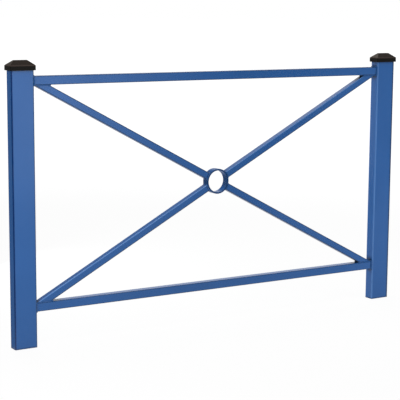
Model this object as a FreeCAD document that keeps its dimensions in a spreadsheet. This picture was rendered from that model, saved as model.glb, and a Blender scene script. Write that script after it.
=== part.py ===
# Pedestrian guard railing: two rectangular posts with plastic caps, a top and a bottom rail,
# and four bars that run from the corners to a ring in the middle.
# Millimetres, +Z up. X runs along the railing, Y across it, away from the side that faces the path.
# The origin is in the middle of the left post's foot, at ground level.

import FreeCAD, Part
import math
import os
import Sketcher
from FreeCAD import Placement, Rotation, Vector

# The driving dimensions. A wall, corner or edge is measured on the piece that its name starts with.
dimensions = {
    "bay_length": 1500,  # post centre to post centre
    "ground_gap": 120,  # ground to the underside of the bottom rail
    "panel_opening": 725,  # clear height between the rails
    "post_head": 31,  # post above the top rail
    "post_width": 80,
    "post_depth": 40,
    "post_wall": 2,
    "post_corner": 4,
    "rail_height": 30,
    "rail_depth": 30,
    "rail_wall": 1.5,
    "rail_corner": 3,
    "bar_height": 25,
    "bar_depth": 25,
    "bar_wall": 1.5,
    "bar_corner": 3,
    "bar_tip_gap": 3,  # tip of a bar's mitre to the post's face
    "ring_diameter": 90,
    "ring_wall": 6,
    "ring_depth": 30,
    "ring_edge": 1,
    "ring_fit_gap": 0.3,  # ring to the round cut in a bar's end
    "cap_overhang": 5,
    "cap_band": 16,  # upright height of the skirt
    "cap_drop": 12,  # how far the skirt hangs below the post's top
    "cap_rise": 17,  # height of the hipped roof
    "cap_top_length": 48,
    "cap_top_depth": 6,
    "cap_edge": 2,
    "cap_roof_wall": 3,
    "cap_fit_gap": 0.5,  # skirt to the outside of the post
    "plug_fit_gap": 0.3,  # fins to the inside of the post
    "plug_length": 28,
    "plug_wall": 2,
    "fin_reach": 2,
    "fin_height": 1.2,
    "fin_pitch": 8,
}
fin_count = 3

# Lengths that follow from the driving dimensions, each as one expression on the sheet
clear_span = "(Sizes.bay_length - Sizes.post_width)"
half_opening = "(Sizes.panel_opening / 2)"
bottom_rail_level = "(Sizes.ground_gap + Sizes.rail_height / 2)"
ring_level = "(Sizes.ground_gap + Sizes.rail_height + Sizes.panel_opening / 2)"
top_rail_level = "(Sizes.ground_gap + 1.5 * Sizes.rail_height + Sizes.panel_opening)"
post_height = "(Sizes.ground_gap + 2 * Sizes.rail_height + Sizes.panel_opening + Sizes.post_head)"
skirt_level = f"({post_height} - Sizes.cap_drop)"

# A bar's lower edge ends at this point, seen from the ring's centre, and the bar's axis runs through that centre.
tip_reach = f"({clear_span} / 2 - Sizes.bar_tip_gap)"
tip_distance = f"sqrt({tip_reach} ^ 2 + {half_opening} ^ 2)"
bar_slope = f"(atan({half_opening} / {tip_reach}) + asin(Sizes.bar_height / 2 / {tip_distance}))"

document = FreeCAD.newDocument("guard_railing")


def make_sheet():
    sheet = document.addObject("Spreadsheet::Sheet", "Sizes")
    for row, (name, value) in enumerate(dimensions.items(), start=1):
        sheet.set(f"A{row}", name)
        sheet.set(f"B{row}", str(value))
        sheet.setAlias(f"B{row}", name)
    document.recompute()
    return sheet


def add_sketch(body, name, role, level="0"):
    sketch = body.newObject("Sketcher::SketchObject", name)
    plane = next(item for item in body.Origin.OriginFeatures if item.Role == role)
    sketch.AttachmentSupport = [(plane, "")]
    sketch.MapMode = "FlatFace"
    sketch.setExpression("AttachmentOffset.Base.z", level)
    return sketch


def constrain(sketch, name, kind, geometry, expression):
    # A named dimension of a sketch, bound to the sheet
    index = sketch.addConstraint(Sketcher.Constraint(kind, *geometry, sketch.evalExpression(expression)))
    sketch.renameConstraint(index, name)
    sketch.setExpression(f"Constraints.{name}", expression)


def join(sketch, kind, *geometry):
    sketch.addConstraint(Sketcher.Constraint(kind, *geometry))


def draw_rounded_rectangle(sketch, name, width, depth, corner):
    # Four lines and four quarter arcs about the sketch's origin, all tangent
    half_width = sketch.evalExpression(width) / 2
    half_depth = sketch.evalExpression(depth) / 2
    radius = sketch.evalExpression(corner)
    sides = [(1, 1), (-1, 1), (-1, -1), (1, -1)]
    centres = [
        Vector(side_x * (half_width - radius), side_y * (half_depth - radius), 0) for side_x, side_y in sides
    ]
    directions = [Vector(1, 0, 0), Vector(0, 1, 0), Vector(-1, 0, 0), Vector(0, -1, 0)]
    arcs = []
    for turn, centre in enumerate(centres):
        circle = Part.Circle(centre, Vector(0, 0, 1), radius)
        quarter = Part.ArcOfCircle(circle, turn * math.pi / 2, (turn + 1) * math.pi / 2)
        arcs.append(sketch.addGeometry(quarter, False))
    lines = []
    for turn, centre in enumerate(centres):
        outward = directions[(turn + 1) % 4] * radius
        line = Part.LineSegment(centre + outward, centres[(turn + 1) % 4] + outward)
        lines.append(sketch.addGeometry(line, False))
    for turn in range(4):
        join(sketch, "Tangent", arcs[turn], 2, lines[turn], 1)
        join(sketch, "Tangent", lines[turn], 2, arcs[(turn + 1) % 4], 1)
    join(sketch, "Horizontal", lines[0])
    join(sketch, "Vertical", lines[1])
    join(sketch, "Horizontal", lines[2])
    join(sketch, "Vertical", lines[3])
    for arc in arcs[1:]:
        join(sketch, "Equal", arcs[0], arc)
    join(sketch, "Symmetric", arcs[0], 3, arcs[2], 3, -1, 1)
    constrain(sketch, f"{name}_width", "DistanceX", (lines[1], 1, lines[3], 1), width)
    constrain(sketch, f"{name}_depth", "DistanceY", (lines[2], 1, lines[0], 1), depth)
    constrain(sketch, f"{name}_corner", "Radius", (arcs[0],), corner)


def draw_circle(sketch, name, radius):
    circle = Part.Circle(Vector(0, 0, 0), Vector(0, 0, 1), sketch.evalExpression(radius))
    index = sketch.addGeometry(circle, False)
    join(sketch, "Coincident", index, 3, -1, 1)
    constrain(sketch, f"{name}_radius", "Radius", (index,), radius)


def draw_box_above(sketch, name, level, width, height):
    # A rectangle that stands on a level line and starts at the sketch's upright axis
    low = sketch.evalExpression(level)
    high = low + sketch.evalExpression(height)
    far = sketch.evalExpression(width)
    points = [Vector(0, low, 0), Vector(far, low, 0), Vector(far, high, 0), Vector(0, high, 0)]
    lines = []
    for index, point in enumerate(points):
        lines.append(sketch.addGeometry(Part.LineSegment(point, points[(index + 1) % 4]), False))
    for index, line in enumerate(lines):
        join(sketch, "Coincident", line, 2, lines[(index + 1) % 4], 1)
    join(sketch, "Horizontal", lines[0])
    join(sketch, "Vertical", lines[1])
    join(sketch, "Horizontal", lines[2])
    join(sketch, "PointOnObject", lines[0], 1, -2)
    join(sketch, "PointOnObject", lines[3], 1, -2)
    constrain(sketch, f"{name}_level", "DistanceY", (-1, 1, lines[0], 1), level)
    constrain(sketch, f"{name}_width", "DistanceX", (lines[0], 1, lines[0], 2), width)
    constrain(sketch, f"{name}_height", "DistanceY", (lines[1], 1, lines[1], 2), height)


def add_hipped_block(body, kind, name, low_level, high_level, low_outline, high_outline):
    # A block on a level rectangle whose four sides slope in to a smaller rectangle above
    block = body.newObject(f"PartDesign::{kind}", name)
    plane = next(item for item in body.Origin.OriginFeatures if item.Role == "XZ_Plane")
    block.AttachmentSupport = [(plane, "")]
    block.MapMode = "FlatFace"
    block.setExpression("Ymin", low_level)
    block.setExpression("Ymax", high_level)
    for limits, (width, depth) in (("", low_outline), ("2", high_outline)):
        block.setExpression(f"X{limits}min", f"-({width}) / 2")
        block.setExpression(f"X{limits}max", f"({width}) / 2")
        block.setExpression(f"Z{limits}min", f"-({depth}) / 2")
        block.setExpression(f"Z{limits}max", f"({depth}) / 2")
    return block


def extrude(body, kind, name, sketch, length, side="One side", reverse=False):
    feature = body.newObject(f"PartDesign::{kind}", name)
    feature.Profile = sketch
    feature.setExpression("Length", length)
    feature.SideType = side
    feature.Reversed = reverse
    return feature


def draw_tube_section(sketch, width, depth, corner, wall):
    draw_rounded_rectangle(sketch, "outside", width, depth, corner)
    draw_rounded_rectangle(
        sketch,
        "inside",
        f"{width} - 2 * {wall}",
        f"{depth} - 2 * {wall}",
        f"{corner} - {wall}",
    )


def new_body(name, placement=Placement()):
    body = document.addObject("PartDesign::Body", name)
    body.Label = name
    body.Placement = placement
    return body


def place(body, along, up):
    body.setExpression("Placement.Base.x", along)
    body.setExpression("Placement.Base.z", up)


def make_post(name, along):
    body = new_body(name)
    place(body, along, "0")
    section = add_sketch(body, f"{name}_section", "XY_Plane")
    draw_tube_section(section, "Sizes.post_width", "Sizes.post_depth", "Sizes.post_corner", "Sizes.post_wall")
    extrude(body, "Pad", f"{name}_tube", section, post_height)
    return body


def make_rail(name, level):
    body = new_body(name)
    place(body, "Sizes.post_width / 2", level)
    section = add_sketch(body, f"{name}_section", "YZ_Plane")
    draw_tube_section(section, "Sizes.rail_depth", "Sizes.rail_height", "Sizes.rail_corner", "Sizes.rail_wall")
    extrude(body, "Pad", f"{name}_tube", section, clear_span)
    return body


def make_bar(name, half_turn):
    # The tube leaves the ring's centre at the bar's slope. One cut then mitres it along the rail's face
    # and rounds its other end to the ring. Half turns of the same bar serve the other three corners.
    body = new_body(name, Placement(Vector(0, 0, 0), half_turn))
    place(body, "Sizes.bay_length / 2", ring_level)
    section = add_sketch(body, f"{name}_section", "YZ_Plane")
    section.AttachmentOffset = Placement(Vector(0, 0, 0), Rotation(Vector(1, 0, 0), -1))
    section.setExpression("AttachmentOffset.Rotation.Angle", f"-{bar_slope}")
    draw_tube_section(section, "Sizes.bar_depth", "Sizes.bar_height", "Sizes.bar_corner", "Sizes.bar_wall")
    extrude(body, "Pad", f"{name}_tube", section, tip_distance)
    ends = add_sketch(body, f"{name}_ends", "XZ_Plane")
    draw_circle(ends, "ring", "Sizes.ring_diameter / 2 + Sizes.ring_fit_gap")
    draw_box_above(ends, "mitre", half_opening, f"{tip_reach} + Sizes.bar_height", "2 * Sizes.bar_height")
    extrude(body, "Pocket", f"{name}_end_cuts", ends, "2 * Sizes.bar_depth", side="Symmetric")
    return body


def make_ring(name):
    body = new_body(name)
    place(body, "Sizes.bay_length / 2", ring_level)
    section = add_sketch(body, f"{name}_section", "XZ_Plane")
    draw_circle(section, "outside", "Sizes.ring_diameter / 2")
    draw_circle(section, "inside", "Sizes.ring_diameter / 2 - Sizes.ring_wall")
    band = extrude(body, "Pad", f"{name}_band", section, "Sizes.ring_depth", side="Symmetric")
    document.recompute()
    rims = [f"Edge{index}" for index, edge in enumerate(band.Shape.Edges, start=1) if edge.isClosed()]
    easing = body.newObject("PartDesign::Chamfer", f"{name}_rims")
    easing.Base = (band, rims)
    easing.setExpression("Size", "Sizes.ring_edge")
    return body


def inset(outline, distance):
    return [f"{length} - 2 * {distance}" for length in outline]


def make_cap(name, along):
    # The body's zero level is the lower edge of the skirt.
    body = new_body(name)
    place(body, along, skirt_level)
    outline = ("Sizes.post_width + 2 * Sizes.cap_overhang", "Sizes.post_depth + 2 * Sizes.cap_overhang")
    crown = ("Sizes.cap_top_length", "Sizes.cap_top_depth")
    crown_level = "(Sizes.cap_band + Sizes.cap_rise)"

    # Skirt and hipped roof, then every edge but those of the underside is rounded
    add_hipped_block(body, "AdditiveWedge", f"{name}_band", "0", "Sizes.cap_band", outline, outline)
    roof = add_hipped_block(
        body, "AdditiveWedge", f"{name}_roof", "Sizes.cap_band", crown_level, outline, crown
    )
    document.recompute()
    edges = enumerate(roof.Shape.Edges, start=1)
    soft_edges = [f"Edge{index}" for index, edge in edges if edge.BoundBox.ZMax > Part.Precision.confusion()]
    rounding = body.newObject("PartDesign::Fillet", f"{name}_soft_edges")
    rounding.Base = (roof, soft_edges)
    rounding.setExpression("Radius", "Sizes.cap_edge")

    # Recess that drops over the outside of the post
    recess = add_sketch(body, f"{name}_recess_outline", "XY_Plane")
    draw_rounded_rectangle(
        recess,
        "recess",
        "Sizes.post_width + 2 * Sizes.cap_fit_gap",
        "Sizes.post_depth + 2 * Sizes.cap_fit_gap",
        "Sizes.post_corner + Sizes.cap_fit_gap",
    )
    extrude(body, "Pocket", f"{name}_recess", recess, "Sizes.cap_drop", reverse=True)

    # Plug that goes inside the post, with level fins round it
    post_inside = ("Sizes.post_width - 2 * Sizes.post_wall", "Sizes.post_depth - 2 * Sizes.post_wall")
    inside_corner = "Sizes.post_corner - Sizes.post_wall"
    plug_inset = "(Sizes.plug_fit_gap + Sizes.fin_reach)"
    plug_end = "Sizes.cap_drop - Sizes.plug_length"
    plug = add_sketch(body, f"{name}_plug_outline", "XY_Plane", "Sizes.cap_drop")
    draw_rounded_rectangle(plug, "plug", *inset(post_inside, plug_inset), inside_corner)
    extrude(body, "Pad", f"{name}_plug", plug, "Sizes.plug_length", reverse=True)
    for number in range(fin_count):
        fin_level = f"{plug_end} + {number} * Sizes.fin_pitch"
        fin = add_sketch(body, f"{name}_fin_outline_{number + 1}", "XY_Plane", fin_level)
        draw_rounded_rectangle(fin, "fin", *inset(post_inside, "Sizes.plug_fit_gap"), inside_corner)
        extrude(body, "Pad", f"{name}_fin_{number + 1}", fin, "Sizes.fin_height")

    # One hollow through the plug and up under the roof
    hollow_outline = inset(post_inside, f"({plug_inset} + Sizes.plug_wall)")
    hollow_height = "Sizes.plug_length + Sizes.cap_band - Sizes.cap_drop"
    roof_hollow_top = f"{crown_level} - Sizes.cap_roof_wall"
    hollow = add_sketch(body, f"{name}_hollow_outline", "XY_Plane", plug_end)
    draw_rounded_rectangle(hollow, "hollow", *hollow_outline, inside_corner)
    extrude(body, "Pocket", f"{name}_hollow", hollow, hollow_height, reverse=True)
    add_hipped_block(
        body,
        "SubtractiveWedge",
        f"{name}_roof_hollow",
        "Sizes.cap_band",
        roof_hollow_top,
        hollow_outline,
        crown,
    )
    return body


def check_and_write(bodies):
    document.recompute()
    for item in document.Objects:
        if "Invalid" in item.State or "Error" in item.State:
            raise RuntimeError(f"{item.Name} failed: {item.State}")
    os.makedirs("parts", exist_ok=True)
    for body in bodies:
        if body.Shape.isNull() or not body.Shape.isValid() or len(body.Shape.Solids) != 1:
            raise RuntimeError(f"{body.Label} isn't one valid solid")
        body.Shape.exportStep(f"parts/{body.Label}.step")
        print(f"{body.Label}: {body.Shape.Volume / 1000:.2f} cm3")


make_sheet()
upright = Rotation()
about_height = Rotation(Vector(0, 0, 1), 180)
about_depth = Rotation(Vector(0, 1, 0), 180)
about_length = Rotation(Vector(1, 0, 0), 180)
check_and_write(
    [
        make_post("left_post", "0"),
        make_post("right_post", "Sizes.bay_length"),
        make_cap("left_post_cap", "0"),
        make_cap("right_post_cap", "Sizes.bay_length"),
        make_rail("bottom_rail", bottom_rail_level),
        make_rail("top_rail", top_rail_level),
        make_bar("upper_right_bar", upright),
        make_bar("upper_left_bar", about_height),
        make_bar("lower_left_bar", about_depth),
        make_bar("lower_right_bar", about_length),
        make_ring("centre_ring"),
    ]
)
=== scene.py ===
import math
import random

import bpy
from mathutils import Matrix, Vector


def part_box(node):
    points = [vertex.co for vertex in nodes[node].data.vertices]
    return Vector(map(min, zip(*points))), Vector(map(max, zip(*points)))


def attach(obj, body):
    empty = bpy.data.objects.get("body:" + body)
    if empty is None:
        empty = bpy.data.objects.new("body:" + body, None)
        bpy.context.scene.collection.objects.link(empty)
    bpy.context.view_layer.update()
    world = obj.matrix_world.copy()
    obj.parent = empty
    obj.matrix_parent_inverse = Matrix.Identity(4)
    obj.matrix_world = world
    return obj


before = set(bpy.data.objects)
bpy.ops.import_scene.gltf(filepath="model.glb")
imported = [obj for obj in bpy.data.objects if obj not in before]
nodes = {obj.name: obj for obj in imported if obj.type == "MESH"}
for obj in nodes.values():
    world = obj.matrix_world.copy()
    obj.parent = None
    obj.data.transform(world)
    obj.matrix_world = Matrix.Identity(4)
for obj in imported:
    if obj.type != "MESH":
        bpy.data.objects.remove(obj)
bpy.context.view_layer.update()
print("frame loaded:", len(nodes), "pieces")


# Materials

class Wire:
    # One value, colour or vector on its way through a material. Arithmetic on it adds Math nodes.
    def __init__(self, paint, socket):
        self.paint = paint
        self.socket = socket

    def math(self, operation, *values):
        return self.paint.add("ShaderNodeMath", {"operation": operation}, dict(enumerate(values)))

    def __add__(self, other):
        return self.math("ADD", self, other)

    def __radd__(self, other):
        return self.math("ADD", other, self)

    def __sub__(self, other):
        return self.math("SUBTRACT", self, other)

    def __rsub__(self, other):
        return self.math("SUBTRACT", other, self)

    def __mul__(self, other):
        return self.math("MULTIPLY", self, other)

    def __rmul__(self, other):
        return self.math("MULTIPLY", other, self)

    def __abs__(self):
        return self.math("ABSOLUTE", self)

    def uneven(self, spread):
        # a noise, which runs from 0 to 1, as a change either way
        return (self - 0.5) * spread

    def ramp(self, low, high):
        # 0 up to low, 1 from high on, and a soft step between
        settings = {"interpolation_type": "SMOOTHSTEP"}
        inputs = {"Value": self, "From Min": low, "From Max": high}
        return self.paint.add("ShaderNodeMapRange", settings, inputs)


class Paint:
    # The nodes of one material or of the world.
    def __init__(self, owner):
        owner.use_nodes = True
        self.owner = owner
        self.tree = owner.node_tree

    def add(self, kind, settings=None, inputs=None, output=0):
        node = self.tree.nodes.new(kind)
        for name, value in (settings or {}).items():
            if name == "stops":
                self.setStops(node.color_ramp.elements, value)
            else:
                setattr(node, name, value)
        self.fill(node, inputs or {})
        return Wire(self, node.outputs[output])

    def setStops(self, elements, stops):
        elements.remove(elements[1])
        elements[0].position = stops[0][0]
        for position, level in stops:
            stop = elements[0] if position == stops[0][0] else elements.new(position)
            stop.color = (level, level, level, 1)

    def fill(self, node, inputs):
        for name, value in inputs.items():
            if isinstance(value, Wire):
                self.tree.links.new(value.socket, node.inputs[name])
            else:
                node.inputs[name].default_value = value

    def coat(self, inputs):
        self.fill(self.tree.nodes["Principled BSDF"], inputs)

    def close(self, shader, first="Principled BSDF", output="Material Output"):
        # in place of the shader that a new material or world comes with
        self.tree.nodes.remove(self.tree.nodes[first])
        self.fill(self.tree.nodes[output], {"Surface": shader})

    def place(self):
        return self.add("ShaderNodeTexCoord", output="Object")

    def facing(self):
        return self.add("ShaderNodeNewGeometry", output="Normal")

    def part(self, vector, axis):
        return self.add("ShaderNodeSeparateXYZ", None, {"Vector": vector}, output=axis)

    def noise(self, place, scale, detail):
        inputs = {"Vector": place, "Scale": scale, "Detail": detail}
        return self.add("ShaderNodeTexNoise", None, inputs)

    def openness(self, reach, samples):
        # from 0 in a tight corner to 1 out in the open
        settings = {"samples": samples}
        return self.add("ShaderNodeAmbientOcclusion", settings, {"Distance": reach}, output="AO")

    def bump(self, height, distance, strength=1, under=None):
        inputs = {"Height": height, "Distance": distance, "Strength": strength}
        if under is not None:
            inputs["Normal"] = under
        return self.add("ShaderNodeBump", None, inputs)

    def mixColours(self, share, first, second):
        settings = {"data_type": "RGBA", "blend_type": "MIX"}
        return self.add("ShaderNodeMix", settings, {0: share, 6: first, 7: second}, output=2)

    def mixShaders(self, share, first, second):
        return self.add("ShaderNodeMixShader", None, {0: share, 1: first, 2: second})

    def glow(self, strength):
        return self.add("ShaderNodeEmission", None, {"Color": rgb(1, 1, 1), "Strength": strength})

    def ray(self, kind):
        return self.add("ShaderNodeLightPath", output=f"Is {kind} Ray")

    def seen(self):
        # 1 where the camera looks straight at the background or through glass
        camera = self.ray("Camera")
        return camera.math("MAXIMUM", camera, self.ray("Transmission"))


def rgb(red, green, blue):
    return (red, green, blue, 1)


centreLow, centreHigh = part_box("centre_ring")
centre = (centreLow + centreHigh) / 2
ringRadius = (centreHigh.x - centreLow.x) / 2
barSlope = math.radians(28.05)
barHalf = 0.0125  # half a bar's thickness, in metres
railHalf = 0.015

coating = {
    "colour": rgb(0.014, 0.105, 0.345),
    "thickColour": rgb(0.012, 0.098, 0.325),  # where the powder settled a little thicker
    "thickStep": (0.35, 0.65),  # the patches' noise, from the plain colour to the thick one
    "toneSize": 5,  # patches per metre
    "toneDetail": 3,
    "roughness": 0.24,
    "roughnessSpread": 0.05,  # from patch to patch
    "grainRoughness": 0.04,  # from grain to grain
    "refraction": 1.5,
    "peelSize": 420,  # orange peel, ripples per metre
    "peelDetail": 1,
    "peelDepth": 0.00006,
    "grainSize": 2600,  # grains per metre
    "grainDetail": 1,
    "grainDepth": 0.000008,
    "paintedShadeColour": rgb(0.001, 0.018, 0.055),  # painted shade in tight corners, under the caps, along the posts' feet and on the ring's upright faces
    "creviceReach": 0.024,
    "creviceStep": (0.4, 0.97),  # how open a corner is, from full painted shade to none
    "creviceSamples": 8,
    "groundStep": (0.024, 0.036),  # heights over which the painted corner shade starts, so that the floor doesn't shade the feet
    "footShade": 0.5,  # but for a painted shade line along their cut edge, where they meet the floor
    "footStep": (0.002, 0.007),  # heights over which it fades
    "ringShade": 0.62,  # painted shade: how much darker the ring is on its upright faces
    "ringStep": (0.3, 0.85),  # how far a face points up or down, from upright to level
    "ringShine": 0.18,
    "paintedEdgeLeast": 0.7,  # strength of the painted edge highlights and shade where the patches' noise is 0
    "paintedEdgeSpread": 0.6,  # and how much it grows with that noise
    "paintedEdgeFull": (0.3, 0.35),  # outer share of a painted edge's width that is even, across and beside
}
# painted highlights and painted shade along the edges, the left or lower ones and then the
# others:
# colour, strength, width in metres; the pale ones are painted highlights, the dark ones painted
# shade
edgeHighlightsAndShade = {
    "left_post": (
        (rgb(0.000, 0.024, 0.120), 1.0, 0.0058),
        (rgb(0.010, 0.060, 0.180), 0.9, 0.0070),
    ),
    "right_post": (
        (rgb(0.110, 0.270, 0.630), 0.75, 0.0058),
        (rgb(0.006, 0.040, 0.120), 1.0, 0.0125),
    ),
    "rail": (
        (rgb(0.010, 0.055, 0.160), 0.8, 0.0045),
        (rgb(0.008, 0.060, 0.190), 0.8, 0.0045),
    ),
    "rising_bar": (
        (rgb(0.006, 0.038, 0.110), 1.0, 0.0055),
        (rgb(0.110, 0.260, 0.590), 1.0, 0.0040),
    ),
    "falling_bar": (
        (rgb(0.010, 0.055, 0.160), 0.8, 0.0045),
        (rgb(0.008, 0.045, 0.130), 1.0, 0.0045),
    ),
}


def acrossBar(kind, x, z):
    # how far a point lies off the middle line of its post, rail or bar, then half the width there
    # and half the depth
    if kind.endswith("_post"):
        low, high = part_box(kind)
        return x - (low.x + high.x) / 2, (high.x - low.x) / 2, high.y
    if kind == "rail":
        bottom, top = (sum(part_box(rail), Vector()) / 2 for rail in ("bottom_rail", "top_rail"))
        upper = z.math("GREATER_THAN", z, (bottom.z + top.z) / 2)
        return z - bottom.z - upper * (top.z - bottom.z), railHalf, railHalf
    slope = barSlope if kind == "rising_bar" else -barSlope
    across = (z - centre.z) * math.cos(slope) - (x - centre.x) * math.sin(slope)
    return across, barHalf, barHalf


def addEdgeHighlightsAndShade(paint, kind, place, tone, colour):
    # painted highlights and painted shade along the edges of a post, rail or bar
    x, y, z = (paint.part(place, axis) for axis in "XYZ")
    across, halfWide, halfDeep = acrossBar(kind, x, z)
    fullAcross, fullBeside = coating["paintedEdgeFull"]
    for side, (paintedEdgeColour, strength, width) in zip((across * -1, across), edgeHighlightsAndShade[kind]):
        share = side.ramp(halfWide - width, halfWide - width * fullAcross)
        share = share * abs(y).ramp(halfDeep - width, halfDeep - width * fullBeside)
        share = share * (coating["paintedEdgeLeast"] + tone * coating["paintedEdgeSpread"]) * strength
        colour = paint.mixColours(share, colour, paintedEdgeColour)
    return colour


def makeBlueCoating(kind):
    paint = Paint(bpy.data.materials.new(f"blueCoating_{kind}"))
    place = paint.place()
    tone = paint.noise(place, coating["toneSize"], coating["toneDetail"])
    peel = paint.noise(place, coating["peelSize"], coating["peelDetail"])
    grain = paint.noise(place, coating["grainSize"], coating["grainDetail"])
    thick = tone.ramp(*coating["thickStep"])
    colour = paint.mixColours(thick, coating["colour"], coating["thickColour"])
    if kind == "ring":
        # painted shade: the ring's upright faces, in the bore and round its sides, darker than
        # its level ones
        level = abs(paint.part(paint.facing(), "Z")).ramp(*coating["ringStep"])
        uprightShade = (1 - level) * coating["ringShade"]
        colour = paint.mixColours(uprightShade, colour, coating["paintedShadeColour"])
        paint.coat({"Specular IOR Level": coating["ringShine"]})
    # painted highlights and painted shade along the edges
    if kind in edgeHighlightsAndShade:
        colour = addEdgeHighlightsAndShade(paint, kind, place, tone, colour)
    # painted shade in tight corners, under the caps and at the weld seams, from how open each
    # point is
    clear = paint.openness(coating["creviceReach"], coating["creviceSamples"])
    cornerShade = 1 - clear.ramp(*coating["creviceStep"])
    if kind.endswith("_post"):
        height = paint.part(place, "Z")
        line = 1 - height.ramp(*coating["footStep"])
        cornerShade = cornerShade * height.ramp(*coating["groundStep"]) + line * coating["footShade"]
    colour = paint.mixColours(cornerShade, colour, coating["paintedShadeColour"])
    roughness = coating["roughness"] + tone.uneven(coating["roughnessSpread"])
    roughness = roughness + grain.uneven(coating["grainRoughness"])
    ripple = paint.bump(peel, coating["peelDepth"])
    relief = paint.bump(grain, coating["grainDepth"], under=ripple)
    paint.coat({"Base Color": colour, "Roughness": roughness, "Normal": relief})
    paint.coat({"IOR": coating["refraction"]})
    return paint.owner


plastic = {
    "colour": rgb(0.0060, 0.0055, 0.0045),
    "sheenColour": rgb(0.022, 0.0145, 0.0100),  # painted sheen on upward faces
    "sheenStep": (0.2, 0.8),  # how far a face points up
    "sheenLeast": 0.6,  # strength where the clouds' noise is 0
    "sheenSpread": 0.8,  # and how much it grows with that noise
    "sideHighlightColour": rgb(0.090, 0.075, 0.060),  # painted highlight, more so, on the short slopes at the cap's ends
    "sideHighlightStep": (0.25, 0.45),  # how far a face points left or right
    "sideHighlightStrength": 0.8,
    "shoulderHighlightColour": rgb(0.060, 0.042, 0.036),  # painted highlight along the shoulder
    "shoulderHighlightLeast": 0.5,
    "shoulderHighlightSpread": 0.6,
    "shoulderDrop": 0.0172,  # from the crown down to the shoulder
    "shoulderStep": (0.0005, 0.003),  # distances off the shoulder over which the painted highlight fades
    "cloudSize": 60,  # clouds per metre
    "cloudDetail": 4,
    "roughness": 0.5,
    "roughnessSpread": 0.12,
    "refraction": 1.5,
    "shine": 0.14,
    "grainSize": 1500,  # moulded grain, dimples per metre
    "grainDetail": 2,
    "grainDepth": 0.00005,
    "grainStrength": 0.8,
}


def makeCapPlastic():
    paint = Paint(bpy.data.materials.new("capPlastic"))
    place, facing = paint.place(), paint.facing()
    cloud = paint.noise(place, plastic["cloudSize"], plastic["cloudDetail"])
    grain = paint.noise(place, plastic["grainSize"], plastic["grainDetail"])
    # painted sheen on upward faces, stronger on the short end slopes, and a painted highlight
    # along the shoulder
    sheen = paint.part(facing, "Z").ramp(*plastic["sheenStep"])
    sheen = sheen * (plastic["sheenLeast"] + cloud * plastic["sheenSpread"])
    colour = paint.mixColours(sheen, plastic["colour"], plastic["sheenColour"])
    ends = sheen * abs(paint.part(facing, "X")).ramp(*plastic["sideHighlightStep"])
    colour = paint.mixColours(ends * plastic["sideHighlightStrength"], colour, plastic["sideHighlightColour"])
    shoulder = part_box("left_post_cap")[1].z - plastic["shoulderDrop"]
    shoulderHighlight = 1 - abs(paint.part(place, "Z") - shoulder).ramp(*plastic["shoulderStep"])
    shoulderHighlight = shoulderHighlight * (plastic["shoulderHighlightLeast"] + cloud * plastic["shoulderHighlightSpread"])
    colour = paint.mixColours(shoulderHighlight, colour, plastic["shoulderHighlightColour"])
    roughness = plastic["roughness"] + cloud.uneven(plastic["roughnessSpread"])
    relief = paint.bump(grain, plastic["grainDepth"], plastic["grainStrength"])
    paint.coat({"Base Color": colour, "Roughness": roughness, "Normal": relief})
    paint.coat({"IOR": plastic["refraction"], "Specular IOR Level": plastic["shine"]})
    return paint.owner


# the coating that each steel piece gets
kinds = {
    "left_post": "left_post",
    "right_post": "right_post",
    "top_rail": "rail",
    "bottom_rail": "rail",
    "upper_right_bar": "rising_bar",
    "lower_left_bar": "rising_bar",
    "upper_left_bar": "falling_bar",
    "lower_right_bar": "falling_bar",
    "centre_ring": "ring",
}
coats = {kind: makeBlueCoating(kind) for kind in (*edgeHighlightsAndShade, "ring", "weld")}
capPlastic = makeCapPlastic()
for name, node in nodes.items():
    for slot in node.material_slots:
        slot.material = coats[kinds[name]] if name in kinds else capPlastic
print("coating and plastic on the CAD pieces")


# Weld beads

weld = {
    "railLeg": 0.0046,  # rail ends on the posts
    "barLeg": 0.0026,  # mitred bars on the rails
    "ringLeg": 0.0032,  # bars on the ring
    "railCorner": 0.003,  # how round the seams turn the corners
    "barCorner": 0.0028,
    "ripple": 0.0024,  # from one ripple to the next
    "swells": (0.87, 1, 0.961),  # the bead's size at each step along a ripple
    "unevenness": 0.06,
    "crescent": 0.35,  # how far the middle of a ripple runs ahead of its ends
    "halfWidth": 0.76,  # of the bead, as a share of its leg
    "halfThickness": 0.40,
    "sink": 0.2,  # how deep its middle sits
    "narrowest": 0.02,  # keeps the bead near the seam in a corner that is nearly closed
    "sides": 10,
}
hand = random.Random(7)


def addPiece(name, points, faces, material):
    mesh = bpy.data.meshes.new(name)
    mesh.from_pydata(points, [], faces)
    mesh.materials.append(material)
    piece = bpy.data.objects.new(name, mesh)
    bpy.context.scene.collection.objects.link(piece)
    return piece


def circle(sides, radius):
    # evenly spaced points round the upright axis
    turns = [2 * math.pi * side / sides for side in range(sides)]
    return [Vector((-radius * math.sin(turn), radius * math.cos(turn), 0)) for turn in turns]


def wrap(sides, one, other):
    # faces between two rings of points, each given by the number of its first point
    nexts = [(side + 1) % sides for side in range(sides)]
    return [
        (one + side, other + side, other + after, one + after) for side, after in enumerate(nexts)
    ]


def roundedSquare(halfWide, halfHigh, corner):
    # evenly stepped points round a square with rounded corners, each with its outward direction
    straightWide, straightHigh = 2 * (halfWide - corner), 2 * (halfHigh - corner)
    arc = math.pi / 2 * corner
    around = 2 * (straightWide + straightHigh + 2 * arc)
    count = len(weld["swells"]) * round(around / weld["ripple"])
    points = []
    for index in range(count):
        way = around * index / count
        for turn, run in enumerate((straightHigh, straightWide, straightHigh, straightWide)):
            if way < run + arc:
                break
            way -= run + arc
        side, reach = (halfWide, halfHigh) if turn % 2 == 0 else (halfHigh, halfWide)
        if way < run:
            place, facing = Vector((side, way - run / 2)), Vector((1, 0))
        else:
            bend = (way - run) / corner
            facing = Vector((math.cos(bend), math.sin(bend)))
            place = Vector((side - corner, reach - corner)) + facing * corner
        spin = Matrix.Rotation(math.pi / 2 * turn, 2)
        points.append((spin @ place, spin @ facing))
    return points


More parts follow.
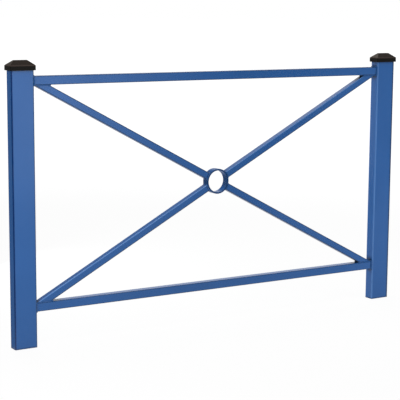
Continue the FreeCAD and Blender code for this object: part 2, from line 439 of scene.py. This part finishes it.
def layBead(seam, along, leg):
    # a closed bead round the end of a bar that runs along: each point of the seam has the bar's
    # outward side there and the way that the surface under it faces
    count, sides = len(seam), weld["sides"]
    section = circle(sides, 1)
    for point in section:
        point.z = weld["crescent"] * max(0, point.y)
    points, faces = [], []
    for index, (place, outward, ground) in enumerate(seam):
        travel = (seam[(index + 1) % count][0] - seam[index - 1][0]).normalized()
        toe = outward - ground * outward.dot(ground)
        toe = (toe - travel * toe.dot(travel)).normalized()
        rise = (along - travel * along.dot(travel)).normalized()
        half = math.sqrt(max(weld["narrowest"], (1 - toe.dot(rise)) / 2))
        reach = leg / (math.sqrt(2) * half)
        out = (toe + rise).normalized()
        middle = place + (toe + rise) * reach / 2 - out * leg * weld["sink"]
        swell = weld["swells"][index % len(weld["swells"])]
        swell *= 1 + hand.uniform(-1, 1) * weld["unevenness"]
        size = (leg * weld["halfWidth"] * swell, leg * weld["halfThickness"] * swell, leg)
        turn = Matrix((travel.cross(out), out, travel)).transposed().to_4x4()
        toSeam = Matrix.Translation(middle) @ turn @ Matrix.Diagonal((*size, 1))
        points += [toSeam @ point for point in section]
        faces += wrap(sides, sides * index, sides * ((index + 1) % count))
    return points, faces


def makeWeld(name, seam, along, leg):
    piece = addPiece(name, *layBead(seam, along, leg), coats["weld"])
    piece.data.shade_smooth()
    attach(piece, "root")


def makeRailWelds():
    outline = roundedSquare(railHalf, railHalf, weld["railCorner"])
    for rail in ("top_rail", "bottom_rail"):
        low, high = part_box(rail)
        height = (low.z + high.z) / 2
        for side, edge, away in (("left", low.x, 1), ("right", high.x, -1)):
            along = Vector((away, 0, 0))
            seam = [
                (Vector((edge, point.x, height + point.y)), Vector((0, *facing)), along)
                for point, facing in outline
            ]
            makeWeld(f"{side}_{rail}_weld", seam, along, weld["railLeg"])


def makeBarWelds():
    halfLong = barHalf / math.sin(barSlope)
    mitred = roundedSquare(halfLong, barHalf, weld["barCorner"])
    square = roundedSquare(barHalf, barHalf, weld["barCorner"])
    for name, across, up in (
        ("upper_left", -1, 1),
        ("upper_right", 1, 1),
        ("lower_left", -1, -1),
        ("lower_right", 1, -1),
    ):
        low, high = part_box(f"{name}_bar")
        outer = Vector((across * math.cos(barSlope), 0, up * math.sin(barSlope)))  # off the ring
        sideways = Vector((-outer.z, 0, outer.x))
        # on the rail
        tip = low.x if across < 0 else high.x
        seat = Vector((tip - across * halfLong, 0, high.z if up > 0 else low.z))
        wall = Vector((0, 0, -up))
        seam = [
            (seat + Vector((*point, 0)), Vector((*facing, 0)), wall)
            for point, facing in mitred
        ]
        makeWeld(f"{name}_bar_rail_weld", seam, -outer, weld["barLeg"])
        # on the ring
        seam = []
        for point, facing in square:
            spot = outer * math.sqrt(ringRadius ** 2 - point.x ** 2) + sideways * point.x
            place = centre + spot + Vector((0, point.y, 0))
            outward = sideways * facing.x + Vector((0, facing.y, 0))
            seam.append((place, outward, spot.normalized()))
        makeWeld(f"{name}_bar_ring_weld", seam, outer, weld["ringLeg"])


makeRailWelds()
makeBarWelds()
print("weld beads laid")


# Floor, light and camera

studio = {
    "worldLevel": 0.35,  # soft light from all round
    "skyShine": 0.6,  # how bright the sky is in reflections
    "skyWhite": 1,  # and to the camera
    "floorColour": rgb(0.4, 0.4, 0.4),
    "floorWhite": 1.08,  # the plain white that the camera sees of it
    "floorShade": 0.12,  # how much of the lit floor shows through that white
    "shadeStep": (2.5, 6),  # distances over which that fades
    "floorRadius": 80,
    "floorSides": 64,
    "curtainRadius": 3.1,
    "curtainHeight": 3.4,
    "curtainSides": 72,
    "brightest": 2.5,  # the most that a stop in the rows below may be
    # what reflections see of the floor from left to right: place, brightness
    "frontFloor": (
        (-1, 0.0), (-0.35, 0.2), (-0.1, 0.95), (0.6, 0.9), (1.6, 0.75), (3, 0.75),
    ),
    "rearFloor": (
        (-1, 0.15), (0, 0.2), (0.4, 0.35), (1.2, 0.75), (2, 0.7), (3, 0.7),
    ),
    "rearStep": (-0.05, 0.05),  # depths over which the front row turns into the rear one
    # what they see round the set: angle (0 behind, 90 to the right, 180 in front), brightness
    "lowWall": (
        (-180, 0.6), (-150, 0.3), (-130, 0.3), (-122, 0.0), (-33, 0.0), (-28, 1.0),
        (0, 0.8), (8, 1.0), (60, 0.9), (75, 0.1), (100, 0.1), (110, 0.4), (131, 0.45),
        (134.5, 0.55), (137, 0.25), (143, 0.25), (149, 0.4), (156, 0.95), (163, 2.0),
        (174, 2.1), (180, 0.6),
    ),
    "highWall": (
        (-180, 0.5), (-130, 0.5), (-122, 0.0), (-33, 0.0), (-28, 0.3), (7, 0.3), (12, 0.55),
        (17, 0.8), (25, 1.1), (60, 1.3), (75, 0.3), (163, 0.3), (180, 0.5),
    ),
    "highStep": (1.0, 1.5),  # heights over which the low row turns into the high one
}
lamps = {
    # place, aim, wide, high, brightness, seen in reflections
    "frontLight": ((-0.7, -1.15, 0.75), (-0.05, 0, 0.6), 0.8, 1.2, 4.4, False),
    "frontRightLight": ((2.1, -1.1, 0.45), (1.6, 0, 0.45), 0.8, 1.0, 3.7, False),
    "frontTopLight": ((0.75, -1.2, 3.0), (0.75, 0, 0.5), 2.6, 0.8, 1.9, True),
    "rearTopLight": ((1.7, 1.5, 2.6), (1.3, 0, 0.5), 1.4, 1.6, 1.4, False),
    "rearMiddleLight": ((0.4, 1.2, 0.6), (1.46, 0, 0.5), 0.8, 1.2, 5.0, False),
    "leftLight": ((-2.2, 0.2, 0.5), (0, 0, 0.4), 1.0, 1.0, 2.2, False),
    "rearRightLight": ((1.9, 2.2, 2.3), (0.9, 0, 0.6), 1.4, 1.4, 0.6, False),
}


def readRow(paint, name, value):
    # brightness from one of the studio's rows of stops, as a share of the brightest
    row = studio[name]
    low, high = row[0][0], row[-1][0]
    stops = [((place - low) / (high - low), grey / studio["brightest"]) for place, grey in row]
    share = (value - low) * (1 / (high - low))
    return paint.add("ShaderNodeValToRGB", {"stops": stops}, {0: share})


def makeStagePiece(name, points, faces, material):
    material.cycles.emission_sampling = "NONE"
    piece = addPiece(name, points, faces, material)
    return piece


def makeFloor():
    # nearly plain white to the camera, so that only a faint shadow shows, and grey to reflections
    paint = Paint(bpy.data.materials.new("studioFloor"))
    place = paint.place()
    x, y = (paint.part(place, axis) for axis in "XY")
    away = paint.add("ShaderNodeVectorMath", {"operation": "LENGTH"}, {0: place}, output="Value")
    shade = (1 - away.ramp(*studio["shadeStep"])) * studio["floorShade"]
    lit = paint.add("ShaderNodeBsdfDiffuse", None, {"Color": studio["floorColour"]})
    plain = paint.mixShaders(paint.seen() * (1 - shade), lit, paint.glow(studio["floorWhite"]))
    front, rear = (readRow(paint, row, x) for row in ("frontFloor", "rearFloor"))
    share = front + y.ramp(*studio["rearStep"]) * (rear - front)
    mirrored = paint.mixShaders(share, paint.glow(0), paint.glow(studio["brightest"]))
    paint.close(paint.mixShaders(paint.ray("Glossy"), plain, mirrored))
    sides = studio["floorSides"]
    makeStagePiece("floor", circle(sides, studio["floorRadius"]), [range(sides)], paint.owner)


def makeCurtain():
    # a wall that only reflections see, bright in front and behind and dark at the sides
    paint = Paint(bpy.data.materials.new("curtain"))
    place = paint.place()
    x, y, z = (paint.part(place, axis) for axis in "XYZ")
    angle = x.math("ARCTAN2", x - centre.x, y) * (180 / math.pi)
    low, high = (readRow(paint, row, angle) for row in ("lowWall", "highWall"))
    share = low + z.ramp(*studio["highStep"]) * (high - low)
    paint.close(paint.mixShaders(share, paint.glow(0), paint.glow(studio["brightest"])))
    sides = studio["curtainSides"]
    ring = circle(sides, studio["curtainRadius"])
    levels = (0, studio["curtainHeight"])
    points = [point + Vector((centre.x, 0, level)) for level in levels for point in ring]
    curtain = makeStagePiece("curtain", points, wrap(sides, 0, sides), paint.owner)
    for ray in ("camera", "diffuse", "transmission", "shadow", "volume_scatter"):
        setattr(curtain, f"visible_{ray}", False)


def makeWorld():
    world = bpy.data.worlds.new("studio")
    bpy.context.scene.world = world
    paint = Paint(world)
    levels = (studio[name] for name in ("worldLevel", "skyShine", "skyWhite"))
    soft, mirrored, white = (
        paint.add("ShaderNodeBackground", None, {"Color": rgb(1, 1, 1), "Strength": level})
        for level in levels
    )
    unseen = paint.mixShaders(paint.ray("Glossy"), soft, mirrored)
    paint.close(paint.mixShaders(paint.seen(), unseen, white), "Background", "World Output")


def makeLamps():
    for name, (place, aim, wide, high, brightness, mirrored) in lamps.items():
        data = bpy.data.lights.new(name, "AREA")
        data.shape = "RECTANGLE"
        data.size, data.size_y = wide, high
        data.energy = math.pi * wide * high * brightness  # the same glow whatever its size
        lamp = bpy.data.objects.new(name, data)
        lamp.location = place
        lamp.rotation_euler = (Vector(aim) - Vector(place)).to_track_quat("-Z", "Y").to_euler()
        lamp.visible_camera = False
        lamp.visible_glossy = mirrored
        bpy.context.scene.collection.objects.link(lamp)


view = {
    # where the camera stands, and its own directions
    "place": (-1.6516, -3.8458, 1.1463),
    "right": (0.85521, -0.51824, 0.00650),
    "up": (0.07394, 0.13442, 0.98816),
    "lens": 114.935,  # in millimetres, as the sensor's width is
    "sensor": 36,
    "shift": (-0.0002, -0.00025),  # about a tenth of a pixel each way
}


def makeCamera():
    data = bpy.data.cameras.new("camera")
    data.sensor_width = view["sensor"]
    data.lens = view["lens"]
    data.shift_x, data.shift_y = view["shift"]
    camera = bpy.data.objects.new("camera", data)
    right, up = Vector(view["right"]).normalized(), Vector(view["up"]).normalized()
    turn = Matrix((right, up, right.cross(up))).transposed()
    camera.matrix_world = Matrix.Translation(view["place"]) @ turn.to_4x4()
    bpy.context.scene.collection.objects.link(camera)
    bpy.context.scene.camera = camera


makeFloor()
makeCurtain()
makeWorld()
makeLamps()
makeCamera()
bpy.context.scene.view_settings.view_transform = "Standard"
print("floor, light and camera in place")
